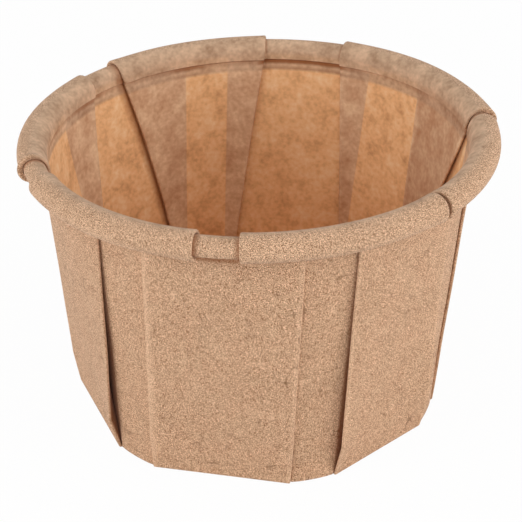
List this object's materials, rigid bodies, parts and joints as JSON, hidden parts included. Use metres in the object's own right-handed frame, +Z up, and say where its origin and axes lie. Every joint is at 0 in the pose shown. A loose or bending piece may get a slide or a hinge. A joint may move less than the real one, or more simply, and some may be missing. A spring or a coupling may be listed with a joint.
{
  "type": "paper portion cup",
  "caption": "Small pleated kraft paper portion cup with a flat polygonal base, slightly flared wall of overlapping folds and an outward rolled rim.",
  "frame": {"origin": "centre of the flat base, on the surface that the cup stands on", "axes": "+Z up out of the cup's mouth, -Y towards the side shown in the picture, +X to its right"},
  "size_m": [0.0601, 0.0598, 0.0391],
  "materials": {
    "kraft_paper": "matte uncoated kraft"
  },
  "bodies": {
    "root": {"cup": "kraft_paper"}
  },
  "joints": []
}
